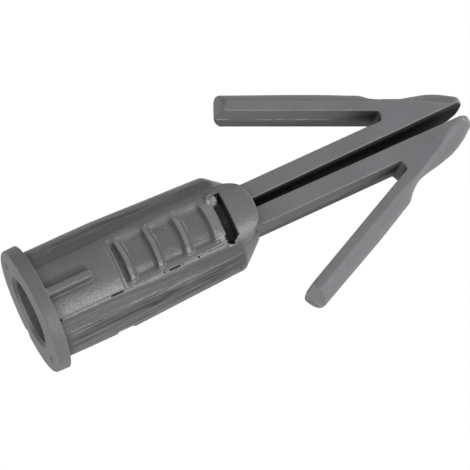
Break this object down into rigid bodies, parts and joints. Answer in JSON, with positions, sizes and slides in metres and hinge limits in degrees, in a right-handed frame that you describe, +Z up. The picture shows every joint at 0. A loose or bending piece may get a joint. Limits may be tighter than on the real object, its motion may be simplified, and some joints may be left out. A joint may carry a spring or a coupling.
{
  "type": "hollow wall anchor",
  "caption": "Grey nylon hollow-wall anchor: collared tapered sleeve with ribbed grip tongues, a forked shank and an arrowhead with fold-back barbs.",
  "frame": {"origin": "on the anchor's axis, in the plane of the collar's underside, which is the wall face", "axes": "+X along the anchor into the wall, +Z up through the upper grip tongue, +Y towards the left barb"},
  "size_m": [0.0422, 0.0208, 0.0114],
  "materials": {
    "nylon": "moulded grey nylon, satin, with faint flow lines"
  },
  "bodies": {
    "sleeve": {"collar": "nylon", "barrel": "nylon", "nose": "nylon", "fin_upper": "nylon", "fin_lower": "nylon"},
    "tongue_upper": {"tongue_upper": "nylon", "rib_upper_1": "nylon", "rib_upper_2": "nylon", "rib_upper_3": "nylon", "rib_upper_4": "nylon"},
    "tongue_lower": {"tongue_lower": "nylon", "rib_lower_1": "nylon", "rib_lower_2": "nylon", "rib_lower_3": "nylon", "rib_lower_4": "nylon"},
    "leg_left": {"leg_left": "nylon", "head_left": "nylon"},
    "leg_right": {"leg_right": "nylon", "head_right": "nylon"},
    "barb_left": {"barb_left": "nylon"},
    "barb_right": {"barb_right": "nylon"}
  },
  "joints": [
    {"name": "tongue_upper_bend", "type": "hinge", "parent": "sleeve", "child": "tongue_upper", "pos_m": [0.00675, 0, 0.0035], "axis": [0, -1, 0], "range_deg": [0, 4], "stiffness_Nm_per_rad": 0.3},
    {"name": "tongue_lower_bend", "type": "hinge", "parent": "sleeve", "child": "tongue_lower", "pos_m": [0.00675, 0, -0.0035], "axis": [0, 1, 0], "range_deg": [0, 4], "stiffness_Nm_per_rad": 0.3},
    {"name": "leg_left_bend", "type": "hinge", "parent": "sleeve", "child": "leg_left", "pos_m": [0.0196, 0.0012, 0], "axis": [0, 0, 1], "range_deg": [-1.2, 5], "stiffness_Nm_per_rad": 0.3},
    {"name": "leg_right_bend", "type": "hinge", "parent": "sleeve", "child": "leg_right", "pos_m": [0.0196, -0.0012, 0], "axis": [0, 0, -1], "range_deg": [-1.2, 5], "stiffness_Nm_per_rad": 0.3},
    {"name": "barb_left_fold", "type": "hinge", "parent": "leg_left", "child": "barb_left", "pos_m": [0.0343, 0.00306, 0], "axis": [0, 0, -1], "range_deg": [-24.5, 8], "stiffness_Nm_per_rad": 0.1},
    {"name": "barb_right_fold", "type": "hinge", "parent": "leg_right", "child": "barb_right", "pos_m": [0.0343, -0.00306, 0], "axis": [0, 0, 1], "range_deg": [-24.5, 8], "stiffness_Nm_per_rad": 0.1}
  ]
}
